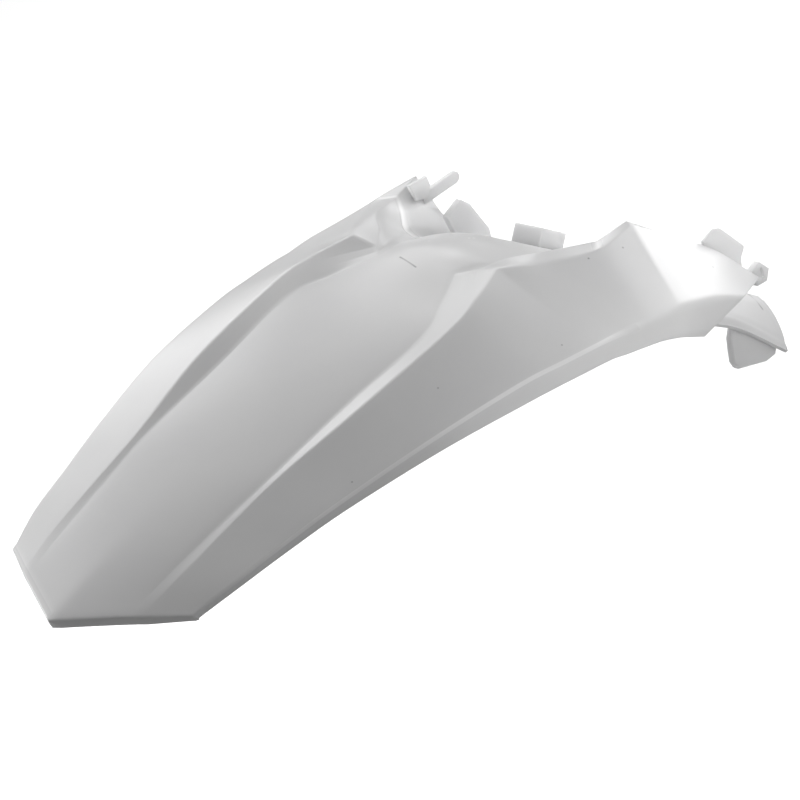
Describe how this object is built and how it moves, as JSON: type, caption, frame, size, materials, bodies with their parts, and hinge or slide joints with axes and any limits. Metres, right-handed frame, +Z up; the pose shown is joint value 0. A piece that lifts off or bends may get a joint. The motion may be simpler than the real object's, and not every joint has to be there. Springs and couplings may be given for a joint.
{
  "type": "motorcycle rear fender",
  "caption": "One-piece moulded off-road motorcycle rear fender with a pointed tail, folded hems, raised shoulder crests, a long right skirt and an inner guard with two bolt bosses",
  "frame": {"origin": "Midpoint between the two front bolt holes, in the plane of the boss faces, with the fender as it sits on the motorcycle.", "axes": "+X points forward, +Y to the rider's left, +Z up; the bolt holes run along X and the tail rises towards the rear by 12 degrees."},
  "size_m": [0.6013, 0.3364, 0.3506],
  "materials": {
    "fender": "gloss, moulded"
  },
  "bodies": {
    "root": {"rear_fender": "fender"}
  },
  "joints": []
}
